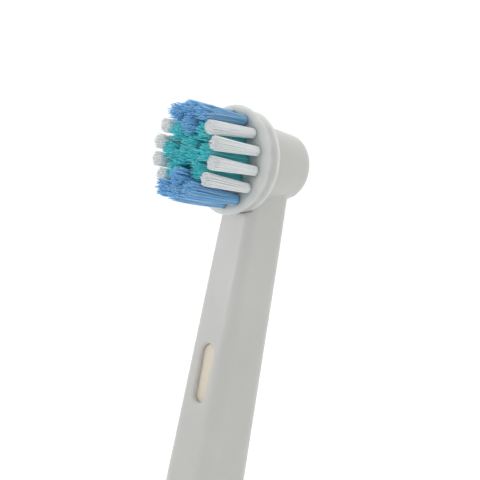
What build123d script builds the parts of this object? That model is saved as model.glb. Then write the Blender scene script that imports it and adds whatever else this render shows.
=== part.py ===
from build123d import *
import math
import os

# Replacement head for an oscillating electric toothbrush, in millimetres.
# +Z runs up the neck from its open base, and the bristles face -Y.
# The origin is on the axis of the drive, at the mouth of the socket for the handle.

# Head: height of the axis that the bristle disc swings about
head_height = 70.0

# Bristle carrier: a disc with a waist round its side, and a hub and a journal behind it
carrier_face_radius = 6.7
carrier_back_radius = 6.15
carrier_thickness = 2.88
carrier_rim = 0.75
carrier_edge_round = 0.7
carrier_back_rim = 0.4
carrier_waist_radius = 6.05
carrier_waist_height = 0.9
carrier_waist_round = 0.6
carrier_gap = 0.2
hub_radius = 3.0
hub_length = 1.95
hub_clearance = 0.2
journal_radius = 1.6
journal_length = 3.9
running_clearance = 0.06

# Retaining pin, which lies across the journal in a groove
pin_radius = 0.5
groove_depth = 0.5
groove_clearance = 0.1
groove_setback = 1.7
pin_recess = 0.15
pin_reach = 0.8

# Flange and boss of the housing, behind the carrier
flange_front = 2.6
flange_overhang = 0.72
flange_thickness = 0.5
flange_edge_round = 0.2
boss_front_radius = 4.94
boss_back_radius = 3.78
boss_depth = 4.8
boss_edge_round = 1.5
boss_blend = 0.8
recess_clearance = 0.1

# Crank rod: a bent wire whose round tip sits in the slot of the hub
rod_radius = 0.65
crank_radius = 1.5
crank_drop = 1.45
crank_clearance = 0.1
crank_room = 0.2
slot_room = 0.3
slot_flare = 25.0
bend_drop = 5.5
bend_height = 3.0
bend_radius = 3.0

# Handle interface: the collar that the head is pushed on to, and the drive shaft with its flat end
socket_radius = 4.0
socket_depth = 10.0
socket_wall = 0.8
key_width = 1.6
key_depth = 0.4
key_length = 5.0
shaft_radius = 1.65
shaft_flat = 1.15
shaft_round_length = 5.5
shaft_flat_length = 6.5
shaft_step = 0.2

# Drive coupling, its spring clip and the washer that keeps it in
coupling_wall = 0.85
coupling_roof = 2.0
coupling_play = 0.15
stem_wall = 0.55
stem_length = 5.0
stem_clearance = 0.2
slit_width = 0.5
slit_length = 11.0
clip_height = 1.9
clip_thickness = 0.4
clip_setback = 7.0
clip_clearance = 0.05
clip_gap_angle = 70.0
washer_thickness = 0.9
washer_width = 1.0
washer_clearance = 0.25

# Core insert inside the neck
insert_wall = 0.7
insert_drop = 18.0
bearing_length = 2.0
fit_clearance = 0.03

# Window in the front of the neck, and the lug of the insert that snaps into it
window_drop = 26.1
window_length = 7.3
window_width = 2.25
window_edge_round = 0.35
lug_clearance = 0.03
lug_recess = 0.7

# Neck: walls and the flat part of its rounded-square section
neck_wall = 0.73
head_wall = 0.53
base_wall = 2.2
neck_waist_height = 31.5
neck_flat_head = 1.7
neck_flat_waist = 1.95
neck_flat_base = 0.25
neck_levels = 4

# Coloured ring round the base
ring_height = 3.5
ring_thickness = 0.55
ring_edge_round = 0.15

# Tufts: the outer ring is set in from the rim of the face, and the inner ring is midway to the centre ring
ring_margin = 1.42
centre_ring_radius = 1.24
hole_radius = 0.66
hole_depth = 1.7
tuft_clearance = 0.02
tuft_edge = 0.15
tuft_length = 7.0
blue_extra = 0.9
lower_extra = 0.5
tip_radius = 0.95
pattern_turn = -7.0

# Metal plates that hold the folded tufts in their holes
anchor_thickness = 0.2
anchor_height = 0.7
anchor_clearance = 0.015
tuft_fold = 0.3

# Colours round each ring of tufts, from the top of the head
outer_colours = ["blue"] * 2 + ["white"] * 4 + ["blue"] * 3 + ["white"] * 4 + ["blue"]
inner_colours = ["blue"] + ["teal"] * 3 + ["blue"] + ["teal"] * 3
centre_colours = ["teal"] * 3

# Heights along the neck that follow from these sizes
coupling_bottom = socket_depth + washer_thickness + coupling_play
shaft_end = coupling_bottom + shaft_round_length + shaft_flat_length
coupling_top = shaft_end + coupling_roof
stem_top = coupling_top + stem_length
insert_shoulder = socket_depth + socket_wall
insert_top = head_height - insert_drop
window_height = head_height - window_drop

# Radii that follow, from the drive shaft outwards
mouth_radius = shaft_radius + shaft_step
coupling_radius = shaft_radius + coupling_wall
coupling_bore = coupling_radius + running_clearance
stem_radius = rod_radius + stem_wall
insert_base_radius = socket_radius + socket_wall
washer_bore = mouth_radius + washer_clearance
washer_radius = washer_bore + washer_width
crank_bore = crank_radius + rod_radius + crank_room
neck_half_coupling = coupling_bore + insert_wall + fit_clearance + neck_wall
neck_half_head = crank_bore + head_wall
neck_half_base = insert_base_radius + base_wall
neck_taper = (neck_half_coupling - neck_half_head) / (head_height - coupling_top)
flange_radius = boss_front_radius + flange_overhang
outer_ring_radius = carrier_face_radius - ring_margin
inner_ring_radius = (outer_ring_radius + centre_ring_radius) / 2

# Distances in front of the drive axis, on the axis of the carrier
carrier_back = flange_front + carrier_gap
carrier_face = carrier_back + carrier_thickness
hub_end = carrier_back - hub_length
pocket_floor = hub_end - hub_clearance
flange_back = flange_front - flange_thickness
journal_end = hub_end - journal_length
groove_centre = hub_end - groove_setback - pin_radius

# Frame of the head: local +Z points out of the bristle face, local +Y up the neck
head_plane = Plane(origin=(0, 0, head_height), x_dir=(1, 0, 0), z_dir=(0, -1, 0))


def turned(points, rounds=()):
    """Solid turned about Z from an outline of (radius, height) points, with some corners rounded."""
    outline = make_face(Polyline(*points, close=True))
    for corner, radius in rounds:
        outline = fillet(outline.vertices().sort_by_distance(corner)[0], radius)
    return revolve(Plane.XZ * outline, Axis.Z)


def rod_between(radius, bottom, top):
    """Round bar on the Z axis from one height to another."""
    bar = Cylinder(radius, top - bottom, align=(Align.CENTER, Align.CENTER, Align.MIN))
    return Pos(0, 0, bottom) * bar


def straight_half(height):
    """Half width of the neck's straight taper, carried on down to the base."""
    return neck_half_head + neck_taper * (head_height - height)


def flared(height, straight, at_waist, at_base):
    """A size of the neck: straight above the waist, and swelling below it to its value at the base."""
    if height >= neck_waist_height:
        return straight
    share = (neck_waist_height - height) / (neck_waist_height - ring_height)
    return straight + (at_base - at_waist) * share**2


def neck_section(height):
    """Rounded-square section of the neck."""
    base_half = straight_half(ring_height)
    half = flared(height, straight_half(height), base_half, neck_half_base)
    rise = (height - neck_waist_height) / (head_height - neck_waist_height)
    flat_straight = neck_flat_waist + (neck_flat_head - neck_flat_waist) * max(rise, 0)
    flat = flared(height, flat_straight, neck_flat_waist, neck_flat_base)
    return Pos(0, 0, height) * RectangleRounded(2 * half, 2 * half, half - flat)


def neck_shell():
    """Outside of the neck, as one loft from the ring at the base into the boss."""
    lower = (neck_waist_height - ring_height) / neck_levels
    upper = (head_height - neck_waist_height) / neck_levels
    heights = [ring_height + lower * i for i in range(neck_levels)]
    heights += [neck_waist_height + upper * i for i in range(neck_levels + 1)]
    return loft([neck_section(height) for height in heights])


def boss_radius(front):
    """Radius of the boss at a distance in front of the drive axis."""
    share = (front + boss_depth) / (flange_back + boss_depth)
    return boss_back_radius + (boss_front_radius - boss_back_radius) * share


def boss():
    """Tapered boss with a rounded back, carried on past the front of the neck so that the two blend."""
    front = straight_half(head_height - boss_front_radius) + boss_blend
    cone = turned(
        [(0, front), (boss_radius(front), front), (boss_back_radius, -boss_depth), (0, -boss_depth)],
        [((boss_back_radius, -boss_depth), boss_edge_round)],
    )
    return head_plane * cone


def flange():
    """Thin disc that the carrier turns in front of."""
    disc = turned(
        [(0, flange_back), (flange_radius, flange_back), (flange_radius, flange_front), (0, flange_front)],
        [((flange_radius, flange_back), flange_edge_round)],
    )
    return head_plane * disc


def blended_neck():
    """Neck and boss, with the edge between them rounded."""
    neck = neck_shell()
    cone = boss()
    lowest = head_height - 2 * boss_front_radius
    seam = [e for e in (neck + cone).edges() if e.geom_type == GeomType.BSPLINE]
    seam = [e for e in seam if lowest < e.center().Z < head_height - rod_radius]
    return fillet(seam, boss_blend)


def neck_bore():
    """Space inside the neck: the seat of the insert, then the room that the crank rod swings in."""
    shoulder = insert_shoulder + fit_clearance
    ceiling = insert_top + fit_clearance
    crank_top = head_height - journal_radius - head_wall
    base = insert_base_radius + fit_clearance
    return turned(
        [
            (0, 0),
            (base, 0),
            (base, shoulder),
            (straight_half(shoulder) - neck_wall, shoulder),
            (straight_half(ceiling) - neck_wall, ceiling),
            (crank_bore, ceiling),
            (crank_bore, crank_top),
            (0, crank_top),
        ]
    )


def bearing_pocket():
    """Pocket for the carrier's hub, and the blind bearing for its journal."""
    bore = journal_radius + running_clearance
    end = journal_end - hub_clearance
    pocket = hub_radius + hub_clearance
    return head_plane * (
        rod_between(bore, end, flange_front) + rod_between(pocket, pocket_floor, flange_front)
    )


def pin_place():
    """Sideways place of the retaining pin, and the heights of its ends above the head's axis."""
    side = journal_radius - groove_depth + groove_clearance + pin_radius
    top = math.sqrt(boss_radius(groove_centre) ** 2 - (side + pin_radius) ** 2) - pin_recess
    return -side, -journal_radius - pin_reach, top


def pin_bar(bottom, top):
    """Round bar along the retaining pin."""
    side = pin_place()[0]
    return Pos(side, -groove_centre, head_height) * rod_between(pin_radius, bottom, top)


def window_slot(length, width, front, back):
    """Upright slot-shaped block across the front wall of the neck."""
    plane = Plane(origin=(0, -front, window_height), x_dir=(0, 0, 1), z_dir=(0, 1, 0))
    return extrude(plane * SlotOverall(length, width), front - back)


def carrier_recess():
    """Room for the carrier in front of the flange, where the front of the neck would be in its way."""
    back = carrier_back_radius + recess_clearance
    face = carrier_face_radius + recess_clearance
    side = [
        (back, flange_front),
        (back, carrier_back + carrier_back_rim),
        (face, carrier_face - carrier_rim),
        (face, carrier_face),
    ]
    return head_plane * turned([(0, flange_front), *side, (0, carrier_face)])


def neck_housing():
    """The white moulding: neck, flange, boss, window and the seats inside."""
    body = blended_neck() - window_slot(window_length, window_width, neck_half_base, 0)
    rim_front = straight_half(window_height) - window_width / 2
    rim = [e for e in body.edges() if e.center().Y < -rim_front and abs(e.center().X) < window_width]
    rim = [e for e in rim if abs(e.center().Z - window_height) < window_length / 2]
    body = fillet(rim, window_edge_round)
    body -= carrier_recess()
    body += flange()
    body += rod_between(neck_half_base - ring_thickness, 0, ring_height)
    body -= neck_bore()
    body -= bearing_pocket()
    return body - pin_bar(pin_place()[1], boss_front_radius)


def core_insert():
    """The cream moulding inside the neck: socket, coupling chamber, rod bearing and window lug."""
    base = insert_base_radius
    shoulder = straight_half(insert_shoulder) - neck_wall - fit_clearance
    top = straight_half(insert_top) - neck_wall - fit_clearance
    chamber_top = coupling_top + coupling_play
    stem_bore = stem_radius + stem_clearance
    bearing = rod_radius + running_clearance
    tube = [(base, 0), (base, insert_shoulder), (shoulder, insert_shoulder), (top, insert_top)]
    body = turned([(0, 0), *tube, (0, insert_top)])
    lug_face = straight_half(window_height) - lug_recess
    lug_length = window_length - 2 * lug_clearance
    lug_width = window_width - 2 * lug_clearance
    body += window_slot(lug_length, lug_width, lug_face, stem_bore)
    body -= rod_between(socket_radius, 0, socket_depth)
    body -= rod_between(washer_radius, 0, socket_depth + washer_thickness)
    body -= rod_between(coupling_bore, 0, chamber_top)
    body -= rod_between(stem_bore, 0, insert_top - bearing_length)
    body -= rod_between(bearing, 0, insert_top)
    key_span = 2 * (socket_radius + key_depth)
    return body - Box(key_span, key_width, key_length, align=(Align.CENTER, Align.CENTER, Align.MIN))


def ident_ring():
    """Coloured ring round the base."""
    inner = neck_half_base - ring_thickness
    outer = neck_half_base
    return turned(
        [(inner, 0), (outer, 0), (outer, ring_height), (inner, ring_height)],
        [((outer, 0), ring_edge_round), ((outer, ring_height), ring_edge_round)],
    )


def drive_coupling():
    """Split socket for the drive shaft: round at its mouth, then narrower with a flat, and a stem."""
    body = rod_between(coupling_radius, coupling_bottom, coupling_top)
    body += rod_between(stem_radius, coupling_top, stem_top)
    flat_start = coupling_bottom + shaft_round_length
    beyond_flat = Pos(0, shaft_flat, flat_start) * Box(
        2 * shaft_radius, shaft_radius, shaft_flat_length, align=(Align.CENTER, Align.MIN, Align.MIN)
    )
    body -= rod_between(mouth_radius, coupling_bottom, flat_start)
    body -= rod_between(shaft_radius, flat_start, shaft_end) - beyond_flat
    body -= rod_between(rod_radius, shaft_end + coupling_roof / 2, stem_top)
    slit = Box(2 * coupling_radius, slit_width, slit_length, align=(Align.CENTER, Align.CENTER, Align.MIN))
    body -= Pos(0, 0, coupling_bottom) * slit
    clip_bottom = coupling_bottom + clip_setback
    groove_radius = coupling_radius - clip_thickness - clip_clearance
    groove_top = clip_bottom + clip_height
    groove = rod_between(coupling_radius, clip_bottom - clip_clearance, groove_top + clip_clearance)
    return body - (groove - rod_between(groove_radius, 0, head_height))


def spring_clip():
    """Open steel ring in the groove of the coupling."""
    clip_bottom = coupling_bottom + clip_setback
    inner = coupling_radius - clip_thickness - clip_clearance
    outline = make_face(
        Polyline(
            (inner, clip_bottom),
            (inner + clip_thickness, clip_bottom),
            (inner + clip_thickness, clip_bottom + clip_height),
            (inner, clip_bottom + clip_height),
            close=True,
        )
    )
    ring = revolve(Plane.XZ * outline, Axis.Z, 360 - clip_gap_angle)
    return Rot(0, 0, clip_gap_angle / 2) * ring


def retaining_washer():
    """Ring pressed in below the coupling."""
    top = socket_depth + washer_thickness
    return rod_between(washer_radius, socket_depth, top) - rod_between(washer_bore, socket_depth, top)


def drive_rod():
    """Bent steel rod from the coupling to the carrier, with a round tip."""
    tip = Vector(0, -crank_radius, head_height - crank_drop)
    upper_bend = Vector(0, -crank_radius, head_height - bend_drop)
    lower_bend = Vector(0, 0, head_height - bend_drop - bend_height)
    foot = Vector(0, 0, shaft_end + coupling_roof / 2)
    path = FilletPolyline(foot, lower_bend, upper_bend, tip, radius=bend_radius)
    rod = sweep(Plane(foot) * Circle(rod_radius), path)
    return rod + Pos(tip) * Sphere(rod_radius)


def retaining_pin():
    """Steel pin pressed into the boss, lying in the groove of the journal."""
    _, bottom, top = pin_place()
    return pin_bar(bottom, top)


def crank_slot():
    """Slot of the hub for the rod's tip: open behind and below, and flared to let the rod lean."""
    half = rod_radius + crank_clearance
    mouth = hub_radius + hub_clearance
    flare = half + (mouth - crank_drop) * math.tan(math.radians(slot_flare))
    corners = [(-half, -crank_drop), (-flare, -mouth), (flare, -mouth), (half, -crank_drop)]
    return make_face(Polyline(*corners, close=True)) + Pos(0, -crank_drop) * Circle(half)


def tuft_frames():
    """Name, length and frame of each tuft: local Z runs out along the tuft from the face of the carrier."""
    counts = {}
    frames = []
    rings = [
        (outer_ring_radius, outer_colours),
        (inner_ring_radius, inner_colours),
        (centre_ring_radius, centre_colours),
    ]
    for radius, colours in rings:
        for i, colour in enumerate(colours):
            counts[colour] = counts.get(colour, 0) + 1
            around = pattern_turn + i * 360 / len(colours)
            place = Rot(0, 0, 90 - around) * Pos(radius, 0, carrier_face)
            length = tuft_length
            if colour == "blue":
                length += blue_extra - lower_extra * math.cos(math.radians(around))
            frames.append((f"{colour}_tuft_{counts[colour]:02d}", length, head_plane.location * place))
    return frames


def anchor():
    """Metal plate across the bottom of a tuft hole."""
    bottom = tuft_fold - hole_depth
    width = 2 * (hole_radius - anchor_clearance)
    plate = Box(anchor_thickness, width, anchor_height, align=(Align.CENTER, Align.CENTER, Align.MIN))
    return Pos(0, 0, bottom) * plate


def tuft(length):
    """Bundle of bristles, folded round its anchor and flaring from its hole towards its tips."""
    root = hole_radius - tuft_clearance
    shoulder = tip_radius - (tip_radius - root) * tuft_edge / length
    tips = [(shoulder, length - tuft_edge), (tip_radius - tuft_edge, length), (0, length)]
    return turned([(0, -hole_depth), (root, -hole_depth), (root, 0), *tips]) - anchor()


def bristle_carrier(frames):
    """Disc with its waist and tuft holes, hub, crank slot and grooved journal."""
    groove_half = pin_radius + groove_clearance
    groove_radius = journal_radius - groove_depth
    waist = (carrier_waist_radius, carrier_back + carrier_waist_height)
    edge = (carrier_face_radius, carrier_face)
    body = turned(
        [
            (0, journal_end),
            (journal_radius, journal_end),
            (journal_radius, groove_centre - groove_half),
            (groove_radius, groove_centre - groove_half),
            (groove_radius, groove_centre + groove_half),
            (journal_radius, groove_centre + groove_half),
            (journal_radius, hub_end),
            (hub_radius, hub_end),
            (hub_radius, carrier_back),
            (carrier_back_radius, carrier_back),
            (carrier_back_radius, carrier_back + carrier_back_rim),
            waist,
            (carrier_face_radius, carrier_face - carrier_rim),
            edge,
            (0, carrier_face),
        ],
        [(waist, carrier_waist_round), (edge, carrier_edge_round)],
    )
    slot_half = rod_radius + slot_room
    body -= Pos(0, 0, crank_radius - slot_half) * extrude(crank_slot(), 2 * slot_half)
    body = head_plane * body
    hole = rod_between(hole_radius, -hole_depth, hole_depth)
    for _, _, frame in frames:
        body -= frame * hole
    return body


def main():
    os.makedirs("parts", exist_ok=True)
    frames = tuft_frames()
    pieces = {
        "neck_housing": neck_housing(),
        "core_insert": core_insert(),
        "ident_ring": ident_ring(),
        "drive_coupling": drive_coupling(),
        "spring_clip": spring_clip(),
        "retaining_washer": retaining_washer(),
        "drive_rod": drive_rod(),
        "retaining_pin": retaining_pin(),
        "bristle_carrier": bristle_carrier(frames),
        "tuft_anchors": Compound(children=[frame * anchor() for _, _, frame in frames]),
    }
    for name, length, frame in frames:
        pieces[name] = frame * tuft(length)
    for name, piece in pieces.items():
        export_step(piece, f"parts/{name}.step")


main()
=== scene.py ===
import math
import random

import bpy
from mathutils import Matrix, Vector


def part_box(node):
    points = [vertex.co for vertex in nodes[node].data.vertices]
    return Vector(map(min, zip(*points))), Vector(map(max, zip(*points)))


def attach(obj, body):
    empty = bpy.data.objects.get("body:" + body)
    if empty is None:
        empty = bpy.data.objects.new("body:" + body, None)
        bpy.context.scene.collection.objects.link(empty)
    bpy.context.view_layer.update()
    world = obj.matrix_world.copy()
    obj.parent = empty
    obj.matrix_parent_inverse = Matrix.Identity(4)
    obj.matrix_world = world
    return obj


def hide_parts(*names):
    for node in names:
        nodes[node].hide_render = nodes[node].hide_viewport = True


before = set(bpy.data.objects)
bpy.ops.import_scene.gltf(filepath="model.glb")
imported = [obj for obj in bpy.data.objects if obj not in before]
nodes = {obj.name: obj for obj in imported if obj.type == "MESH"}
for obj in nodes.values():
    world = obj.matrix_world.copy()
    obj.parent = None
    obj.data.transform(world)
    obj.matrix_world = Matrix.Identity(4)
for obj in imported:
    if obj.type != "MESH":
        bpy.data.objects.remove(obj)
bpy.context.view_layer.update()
MM = 0.001

# Camera: azimuth, elevation and roll in degrees, distance from the aim point,
# width of the picture there, place of the aim point, sensor and clipping
VIEW_AZIMUTH = 49.0
VIEW_ELEVATION = 4.49
VIEW_ROLL = 10.39
VIEW_DISTANCE = 0.42
VIEW_WIDTH = 0.05833
AIM_HEIGHT = 0.055
AIM_ACROSS = -0.00009
AIM_UP = 0.00551
SENSOR_WIDTH = 36
CLIP_NEAR = 0.01
CLIP_FAR = 50

# Surroundings: direction that they are dimmest in, stretch of it over which they dim,
# brightest and dimmest level, and tint
DIM_SIDE = (0.78, -0.52, 0.34)
DIM_RANGE = (-0.6, 0.9)
BRIGHT_LEVEL = 1.05
DIM_LEVEL = 0.75
WORLD_TINT = (1.0, 0.998, 0.995, 1.0)

# Floor: half its width, glow that makes it show white, scale of its mottle and its two tones
FLOOR_HALF = 12.0
FLOOR_GLOW = 0.27
FLOOR_SCALE = 40
FLOOR_DARK = (0.86, 0.86, 0.86, 1.0)
FLOOR_LIGHT = (0.88, 0.88, 0.88, 1.0)

# Lamps: place, point that each one shines at, size, power and spread in degrees
LAMPS = {
    "overhead": ((-0.25, 0.15, 0.6), (0, 0, 0.05), 0.5, 0.6, 180.0),
    "front": ((-0.16, -0.2, 0.045), (0, -0.003, 0.072), 0.04, 0.0007, 11.0),
}
MAX_BOUNCES = 16
DIFFUSE_BOUNCES = 12

# Stretch of the noise that the materials use
NOISE_RANGE = (0.3, 0.7)

# Plastic: uneven tone, uneven gloss, fine grain on slow waves, and light below the surface
TONE_SCALE = 160
TONE_RANGE = (0.97, 1.02)
GLOSS_SCALE = 420
GRAIN_SCALE = 2600
WAVE_SCALE = 240
WAVE_SHARE = 0.6
GRAIN_BUMP = 0.08
GRAIN_DEPTH = 0.02 * MM
PLASTIC_IOR = 1.46
GLOW_RADIUS = (1.0, 1.0, 0.95)

# Metal: scale, tones and roughness of its drawn lines
LINE_SCALE = 9000
LINE_TONES = (0.85, 1.05)
LINE_ROUGH = (0.22, 0.4)

# Nylon: mottle, lines along the filaments, and the colour of the few pale filaments
MOTTLE_SCALE = 900
MOTTLE_SHARE = 0.25
MOTTLE_SHADE = 0.92
NYLON_SCALE = 3000
NYLON_STRETCH = (1, 0.15, 1)
NYLON_ROUGH = (0.3, 0.5)
NYLON_IOR = 1.5
PALE = (0.9, 0.97, 0.98, 1.0)

# Bump of the lines in metal and nylon
LINE_BUMP = 0.1
LINE_DEPTH = 0.01 * MM

# Filaments: thickness and its range, distance between them at the roots, and taper and cap of the end
FILAMENT_RADIUS = {"white": 0.066 * MM, "blue": 0.056 * MM, "teal": 0.056 * MM}
THICKNESS_RANGE = (0.92, 1.06)
FILAMENT_PITCH = 0.088 * MM
END_TAPER = 0.72
END_CAP = 0.5
SINK = 1.2 * MM
RINGS = 8
SIDES = 6

# Tufts: radius at the roots and the tips, scatter of roots, tips, lengths and whole tufts,
# bow of the filaments, and how much shorter the outermost ones are
BUNDLE_RADIUS = 0.6 * MM
TIP_RADIUS = {"white": 0.95 * MM, "blue": 1.12 * MM, "teal": 1.2 * MM}
TIP_LIMIT = 1.12
ROOT_JITTER = 0.012 * MM
TIP_JITTER = {"white": 0.04 * MM, "blue": 0.09 * MM, "teal": 0.08 * MM}
LENGTH_JITTER = {"white": 0.15 * MM, "blue": 0.6 * MM, "teal": 0.7 * MM}
TUFT_LEAN = 0.08 * MM
BOW = {"white": 0.02 * MM, "blue": 0.05 * MM, "teal": 0.03 * MM}
CROWN = 0.12 * MM
FLARE_POWER = 1.25

# Rise of the tips, and the share of a tuft's height above the middle of the disc that is taken off it
LIFT = {"white": 0.33 * MM, "blue": 0.42 * MM, "teal": 0.33 * MM}
GATHER = {"white": 0.065, "blue": 0.03, "teal": 0.03}


def view_axes():
    """Right, up and back directions of the camera."""
    a, e, r = map(math.radians, (VIEW_AZIMUTH, VIEW_ELEVATION, VIEW_ROLL))
    back = Vector((math.sin(a) * math.cos(e), -math.cos(a) * math.cos(e), math.sin(e)))
    level = Vector((math.cos(a), math.sin(a), 0))
    rise = back.cross(level)
    right = level * math.cos(r) + rise * math.sin(r)
    up = rise * math.cos(r) - level * math.sin(r)
    return right, up, back


def add_camera():
    right, up, back = view_axes()
    data = bpy.data.cameras.new("camera")
    data.sensor_width = SENSOR_WIDTH
    data.lens = SENSOR_WIDTH * VIEW_DISTANCE / VIEW_WIDTH
    data.clip_start = CLIP_NEAR
    data.clip_end = CLIP_FAR
    camera = bpy.data.objects.new("camera", data)
    bpy.context.scene.collection.objects.link(camera)
    place = Vector((0, 0, AIM_HEIGHT)) + right * AIM_ACROSS + up * AIM_UP + back * VIEW_DISTANCE
    camera.matrix_world = Matrix.Translation(place) @ Matrix((right, up, back)).transposed().to_4x4()
    bpy.context.scene.camera = camera


class Graph:
    """Short way to build a node tree."""

    def __init__(self, tree):
        self.tree = tree
        tree.nodes.clear()

    def node(self, kind, settings=None, **inputs):
        n = self.tree.nodes.new(kind)
        for key, value in (settings or {}).items():
            setattr(n, key, value)
        for key, value in inputs.items():
            self.set(n, key.replace("_", " "), value)
        return n

    def set(self, n, key, value):
        socket = n.inputs[int(key)] if key.isdigit() else n.inputs[key]
        if isinstance(value, bpy.types.NodeSocket):
            self.tree.links.new(value, socket)
        else:
            socket.default_value = value

    def math(self, operation, a, b):
        n = self.node("ShaderNodeMath", {"operation": operation})
        self.set(n, "0", a)
        self.set(n, "1", b)
        return n.outputs[0]

    def noise(self, scale, detail, stretch=(1, 1, 1)):
        place = self.node("ShaderNodeTexCoord").outputs["Object"]
        mapping = self.node("ShaderNodeMapping", Vector=place, Scale=stretch)
        n = self.node("ShaderNodeTexNoise", Vector=mapping.outputs[0], Scale=scale, Detail=detail)
        return n.outputs["Fac"]

    def spread(self, value, low, high, source=NOISE_RANGE, kind="LINEAR"):
        """Value moved from its source range to the range from low to high."""
        n = self.node("ShaderNodeMapRange", {"interpolation_type": kind}, Value=value)
        keys = ("From Min", "From Max", "To Min", "To Max")
        for key, number in zip(keys, (*source, low, high)):
            self.set(n, key, number)
        return n.outputs[0]

    def mix(self, factor, a, b):
        n = self.node("ShaderNodeMix", {"data_type": "RGBA"})
        self.set(n, "0", factor)
        self.set(n, "6", a)
        self.set(n, "7", b)
        return n.outputs[2]

    def join(self, kind, a, b, first):
        """Shader made of two others, whose sockets start at the one numbered first."""
        n = self.node(kind)
        self.set(n, str(first), a.outputs[0])
        self.set(n, str(first + 1), b.outputs[0])
        return n

    def seen(self):
        """One for rays that show a surface directly, in a mirror or through glass, and zero for others."""
        path = self.node("ShaderNodeLightPath").outputs
        mirrored = self.math("MAXIMUM", path["Is Glossy Ray"], path["Is Transmission Ray"])
        return self.math("MAXIMUM", path["Is Camera Ray"], mirrored)

    def bump(self, height, strength, distance):
        n = self.node("ShaderNodeBump", Height=height, Strength=strength, Distance=distance)
        return n.outputs[0]

    def surface(self, shader, kind="ShaderNodeOutputMaterial"):
        self.node(kind, Surface=shader.outputs[0])


def new_material(name):
    material = bpy.data.materials.new(name)
    material.use_nodes = True
    return material, Graph(material.node_tree)


def shade(color, factor):
    return tuple(min(1.0, c * factor) for c in color) + (1.0,)


def tones(g, noise, color, factors):
    """Mottle between two shades of a colour."""
    return g.mix(g.spread(noise, 0, 1), *(shade(color, factor) for factor in factors))


def plastic(name, color, rough, glow=0.0, reach=1.0 * MM):
    """Moulded plastic: fine grain, uneven gloss and tone, and some light below the surface."""
    material, g = new_material(name)
    waves = g.math("MULTIPLY", g.noise(WAVE_SCALE, 2), WAVE_SHARE)
    height = g.math("ADD", g.noise(GRAIN_SCALE, 4), waves)
    b = g.node("ShaderNodeBsdfPrincipled", IOR=PLASTIC_IOR)
    g.set(b, "Base Color", tones(g, g.noise(TONE_SCALE, 4), color, TONE_RANGE))
    g.set(b, "Roughness", g.spread(g.noise(GLOSS_SCALE, 4), *rough))
    g.set(b, "Normal", g.bump(height, GRAIN_BUMP, GRAIN_DEPTH))
    g.set(b, "Subsurface Weight", glow)
    g.set(b, "Subsurface Radius", GLOW_RADIUS)
    g.set(b, "Subsurface Scale", reach)
    g.surface(b)
    return material


def metal(name, color, stretch):
    """Drawn metal with fine lines along it."""
    material, g = new_material(name)
    lines = g.noise(LINE_SCALE, 3, stretch)
    b = g.node("ShaderNodeBsdfPrincipled", Metallic=1.0)
    g.set(b, "Base Color", tones(g, lines, color, LINE_TONES))
    g.set(b, "Roughness", g.spread(lines, *LINE_ROUGH))
    g.set(b, "Normal", g.bump(lines, LINE_BUMP, LINE_DEPTH))
    g.surface(b)
    return material


def bristle(name, shaded_root, tip, through, rarity=9.0):
    """Nylon filaments: darker near the roots as painted shade, letting light through, and a few of them
    pale.
    """
    material, g = new_material(name)
    run = g.node("ShaderNodeAttribute", {"attribute_name": "run"}).outputs["Fac"]
    own = g.node("ShaderNodeAttribute", {"attribute_name": "own"}).outputs["Fac"]
    # Colour runs from the root colour, darkened as painted shade, to the tip colour along each filament
    root_shaded_colour = g.mix(run, shaded_root + (1.0,), tip + (1.0,))
    pale = g.mix(g.math("POWER", own, rarity), root_shaded_colour, PALE)
    mottle = g.spread(g.noise(MOTTLE_SCALE, 3), 0, MOTTLE_SHARE)
    color = g.mix(mottle, pale, shade(tip, MOTTLE_SHADE))
    grain = g.noise(NYLON_SCALE, 2, NYLON_STRETCH)
    b = g.node("ShaderNodeBsdfPrincipled", IOR=NYLON_IOR)
    g.set(b, "Base Color", color)
    g.set(b, "Roughness", g.spread(grain, *NYLON_ROUGH))
    g.set(b, "Normal", g.bump(grain, LINE_BUMP, LINE_DEPTH))
    t = g.node("ShaderNodeBsdfTranslucent", Color=color)
    both = g.join("ShaderNodeMixShader", b, t, 1)
    g.set(both, "0", through)
    g.surface(both)
    return material


def paint(name, material):
    piece = nodes[name]
    piece.data.materials.clear()
    piece.data.materials.append(material)


def packed_points(radius, pitch):
    """Places in a disc, packed closely in offset rows."""
    row_pitch = pitch * math.sqrt(0.75)
    rows = int(radius / row_pitch) + 1
    points = []
    for row in range(-rows, rows + 1):
        y = row * row_pitch
        shift = 0.5 * pitch * (row % 2)
        for column in range(-rows - 1, rows + 2):
            x = column * pitch + shift
            if math.hypot(x, y) <= radius:
                points.append(Vector((x, y)))
    return points


def filament(line, radius, verts, faces, runs):
    """Adds a thin closed tube with a rounded end along a line of points."""
    first = len(verts)
    count = len(line)
    for i, point in enumerate(line):
        thick = radius * (END_TAPER if i == count - 1 else 1.0)
        for k in range(SIDES):
            a = 2 * math.pi * k / SIDES
            verts.append(point + Vector((math.cos(a) * thick, 0, math.sin(a) * thick)))
            runs.append(i / (count - 1))
    for i in range(count - 1):
        for k in range(SIDES):
            a = first + i * SIDES + k
            b = first + i * SIDES + (k + 1) % SIDES
            faces.append((a, b, b + SIDES, a + SIDES))
    end = len(verts)
    verts.append(line[-1] + Vector((0, -END_CAP * radius, 0)))
    runs.append(1.0)
    for k in range(SIDES):
        faces.append((end - SIDES + k, end - SIDES + (k + 1) % SIDES, end))
    faces.append(tuple(first + k for k in reversed(range(SIDES))))


def scatter(rng, size):
    """Random step in the plane of the disc."""
    return Vector((rng.gauss(0, 1), rng.gauss(0, 1))) * size


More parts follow.
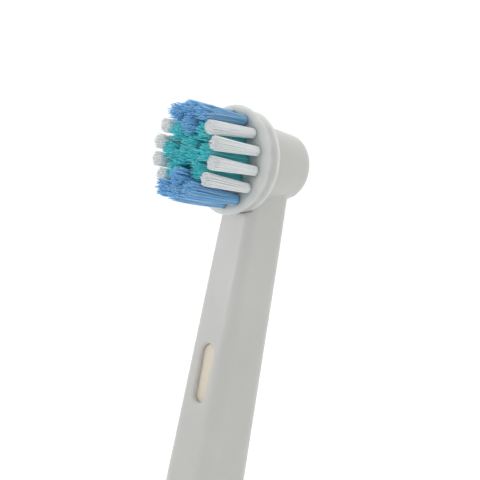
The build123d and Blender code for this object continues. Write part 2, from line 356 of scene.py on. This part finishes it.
def tuft(name, material, seed):
    """Bundle of filaments in place of one solid tuft, from inside its hole out to its tips."""
    colour = name.split("_")[0]
    low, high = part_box(name)
    disc_low, disc_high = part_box("bristle_carrier")
    face = disc_low.y
    middle = (disc_low.z + disc_high.z) / 2
    centre = (low + high) / 2
    length = face - low.y
    rise = Vector((0, LIFT[colour] - GATHER[colour] * (centre.z - middle)))
    rng = random.Random(seed)
    verts, faces, runs, owns = [], [], [], []
    radius = FILAMENT_RADIUS[colour]
    tip_radius = TIP_RADIUS[colour]
    widest = tip_radius * TIP_LIMIT
    flare = (tip_radius - radius) / BUNDLE_RADIUS
    lean = scatter(rng, TUFT_LEAN)
    for start in packed_points(BUNDLE_RADIUS, FILAMENT_PITCH):
        start = start + scatter(rng, ROOT_JITTER)
        end = start * flare + lean + scatter(rng, TIP_JITTER[colour])
        if end.length > widest:
            end = end * (widest / end.length)
        bow = scatter(rng, BOW[colour])
        crown = CROWN * (end.length / tip_radius) ** 2
        own_length = length - abs(rng.gauss(0, LENGTH_JITTER[colour])) - crown
        end = end + rise
        line = [Vector((centre.x + start.x, face + SINK, centre.z + start.y))]
        for i in range(RINGS):
            share = i / (RINGS - 1)
            across = start.lerp(end, share**FLARE_POWER) + bow * math.sin(math.pi * share)
            line.append(Vector((centre.x + across.x, face - own_length * share, centre.z + across.y)))
        before = len(verts)
        filament(line, radius * rng.uniform(*THICKNESS_RANGE), verts, faces, runs)
        owns += [rng.random()] * (len(verts) - before)
    mesh = bpy.data.meshes.new(name + "_filaments")
    mesh.from_pydata(verts, [], faces)
    for key, values in (("run", runs), ("own", owns)):
        mesh.attributes.new(key, "FLOAT", "POINT").data.foreach_set("value", values)
    mesh.polygons.foreach_set("use_smooth", [True] * len(mesh.polygons))
    mesh.materials.append(material)
    bundle = bpy.data.objects.new(name + "_filaments", mesh)
    bpy.context.scene.collection.objects.link(bundle)
    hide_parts(name)
    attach(bundle, "brush")


def add_light(name, place, aim, size, energy, spread):
    data = bpy.data.lights.new(name, "AREA")
    data.shape = "DISK"
    data.size = size
    data.energy = energy
    data.spread = math.radians(spread)
    light = bpy.data.objects.new(name, data)
    light.location = place
    light.rotation_euler = (Vector(aim) - Vector(place)).to_track_quat("-Z", "Y").to_euler()
    bpy.context.scene.collection.objects.link(light)


def add_world():
    """White surroundings that light the object less from one side."""
    world = bpy.data.worlds.new("world")
    world.use_nodes = True
    bpy.context.scene.world = world
    g = Graph(world.node_tree)
    ray = g.node("ShaderNodeTexCoord").outputs["Generated"]
    dot = g.node("ShaderNodeVectorMath", {"operation": "DOT_PRODUCT"})
    g.set(dot, "0", ray)
    g.set(dot, "1", DIM_SIDE)
    level = g.spread(dot.outputs["Value"], BRIGHT_LEVEL, DIM_LEVEL, DIM_RANGE, "SMOOTHSTEP")
    strength = g.math("MAXIMUM", level, g.seen())
    light = g.node("ShaderNodeBackground", Color=WORLD_TINT, Strength=strength)
    g.surface(light, "ShaderNodeOutputWorld")


def add_floor():
    """Plain pale floor that shows white and keeps the object's shadow."""
    mesh = bpy.data.meshes.new("floor")
    signs = ((-1, -1), (1, -1), (1, 1), (-1, 1))
    corners = [(x * FLOOR_HALF, y * FLOOR_HALF, 0) for x, y in signs]
    mesh.from_pydata(corners, [], [(0, 1, 2, 3)])
    floor = bpy.data.objects.new("floor", mesh)
    bpy.context.scene.collection.objects.link(floor)
    material, g = new_material("floor")
    paper = g.mix(g.spread(g.noise(FLOOR_SCALE, 3), 0, 1), FLOOR_DARK, FLOOR_LIGHT)
    matte = g.node("ShaderNodeBsdfDiffuse", Color=paper)
    glow = g.node("ShaderNodeEmission", Strength=g.math("MULTIPLY", g.seen(), FLOOR_GLOW))
    g.surface(g.join("ShaderNodeAddShader", matte, glow, 0))
    mesh.materials.append(material)


neck_plastic = plastic("neck_plastic", (0.61, 0.61, 0.592), (0.3, 0.42), 0.5, 1.2 * MM)
core_plastic = plastic("core_plastic", (0.84, 0.76, 0.63), (0.4, 0.55), 0.1)
ring_plastic = plastic("ring_plastic", (0.16, 0.42, 0.66), (0.28, 0.4))
coupling_plastic = plastic("coupling_plastic", (0.76, 0.76, 0.74), (0.4, 0.55), 0.1)
carrier_plastic = plastic("carrier_plastic", (0.615, 0.64, 0.62), (0.3, 0.42), 0.85, 3.0 * MM)
steel = metal("steel", (0.6, 0.6, 0.61), (1, 1, 0.03))
anchor_metal = metal("anchor_metal", (0.68, 0.58, 0.36), (1, 0.1, 1))
paint("neck_housing", neck_plastic)
paint("core_insert", core_plastic)
paint("ident_ring", ring_plastic)
paint("drive_coupling", coupling_plastic)
paint("retaining_washer", coupling_plastic)
paint("bristle_carrier", carrier_plastic)
paint("tuft_anchors", anchor_metal)
for piece in ("drive_rod", "spring_clip", "retaining_pin"):
    paint(piece, steel)

# Root colours are the tip colours darkened as painted shade near the roots
bristles = {
    "white": bristle("bristle_white", (0.955, 0.985, 0.995), (0.975, 0.994, 1.0), 0.12),
    "blue": bristle("bristle_blue", (0.28, 0.66, 0.94), (0.38, 0.75, 0.98), 0.35, 6.0),
    "teal": bristle("bristle_teal", (0.13, 0.79, 0.83), (0.19, 0.87, 0.91), 0.35),
}
tufts = sorted(n for n in nodes if n.split("_")[0] in bristles)
for number, tuft_name in enumerate(tufts):
    tuft(tuft_name, bristles[tuft_name.split("_")[0]], number)

add_floor()
add_world()
for lamp, settings in LAMPS.items():
    add_light(lamp, *settings)
add_camera()
bpy.context.scene.view_settings.view_transform = "Standard"
bpy.context.scene.cycles.max_bounces = MAX_BOUNCES
bpy.context.scene.cycles.diffuse_bounces = DIFFUSE_BOUNCES
